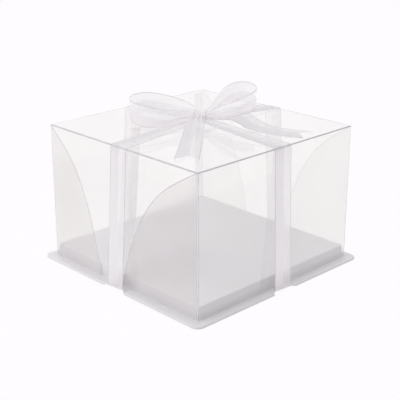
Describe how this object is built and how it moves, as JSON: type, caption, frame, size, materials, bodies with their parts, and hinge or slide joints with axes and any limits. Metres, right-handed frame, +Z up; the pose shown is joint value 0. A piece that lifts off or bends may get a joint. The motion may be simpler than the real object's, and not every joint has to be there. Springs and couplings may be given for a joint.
{
  "type": "cake box",
  "caption": "Square clear cake box: a folded see-through cover with gusset creases stands on a white flanged tray, and a half-sheer satin ribbon ties both with a bow on top.",
  "frame": {"origin": "middle of the tray's foot, on the surface it stands on", "axes": "+Z up; the front wall, with gusset creases, faces -Y; +X is the right wall as seen from the front"},
  "size_m": [0.264, 0.264, 0.2065],
  "materials": {
    "clear_sheet": "clear glossy PET sheet",
    "tray_plastic": "vacuum-formed, soft satin",
    "ribbon": "woven, half satin and half sheer"
  },
  "bodies": {
    "tray": {"base_tray": "tray_plastic", "under_strap_x": "ribbon", "under_strap_y": "ribbon"},
    "cover": {"cover_sheet": "clear_sheet", "seam_tab": "clear_sheet"},
    "ribbon": {"wall_strap_front": "ribbon", "wall_strap_right": "ribbon", "wall_strap_back": "ribbon", "wall_strap_left": "ribbon", "top_strap_front": "ribbon", "top_strap_right": "ribbon", "top_strap_back": "ribbon", "top_strap_left": "ribbon", "bow_knot": "ribbon", "bow_loop_left": "ribbon", "bow_loop_right": "ribbon", "bow_tail_front": "ribbon", "bow_tail_right": "ribbon"}
  },
  "joints": [
    {"name": "cover_lift", "type": "slide", "parent": "tray", "child": "cover", "axis": [0, 0, 1], "range_m": [0, 0.2]},
    {"name": "ribbon_lift", "type": "slide", "parent": "cover", "child": "ribbon", "axis": [0, 0, 1], "range_m": [0, 0.18]}
  ]
}
